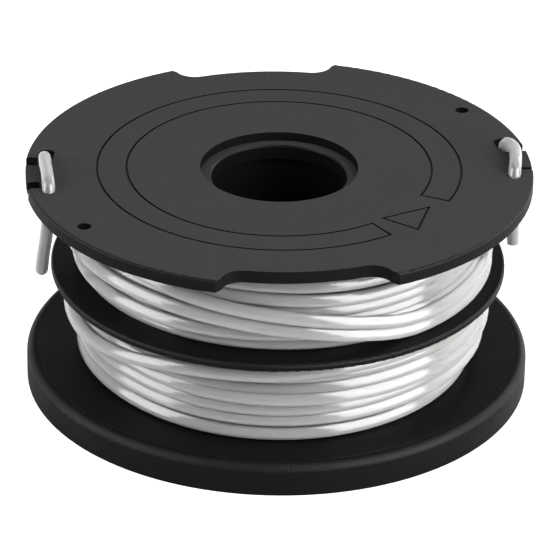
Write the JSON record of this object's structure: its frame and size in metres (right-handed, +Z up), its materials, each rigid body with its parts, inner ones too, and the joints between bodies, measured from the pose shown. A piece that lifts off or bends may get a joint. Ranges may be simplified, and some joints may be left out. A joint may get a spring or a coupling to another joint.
{
  "type": "trimmer line spool",
  "caption": "Dual-line grass trimmer spool: a three-flange moulded hub with nylon line wound in each chamber and both free ends parked in the top flange.",
  "frame": {"origin": "centre of the bore, in the plane that the base flange stands on", "axes": "+Z up along the bore, out of the face with the arrow; +X towards the parked end of the lower line; +Y away from the viewer"},
  "size_m": [0.081, 0.081, 0.0386],
  "materials": {
    "moulding": "fine moulded grain",
    "nylon_line": "translucent extruded nylon"
  },
  "bodies": {
    "root": {"top_flange": "moulding", "hub_tube": "moulding", "upper_drum": "moulding", "divider_flange": "moulding", "lower_drum": "moulding", "base_flange": "moulding", "web_ribs": "moulding", "skirt_ribs": "moulding", "feed_lugs": "moulding", "upper_line_core": "nylon_line", "upper_line_winding": "nylon_line", "upper_line_end": "nylon_line", "lower_line_core": "nylon_line", "lower_line_winding": "nylon_line", "lower_line_end": "nylon_line"}
  },
  "joints": []
}
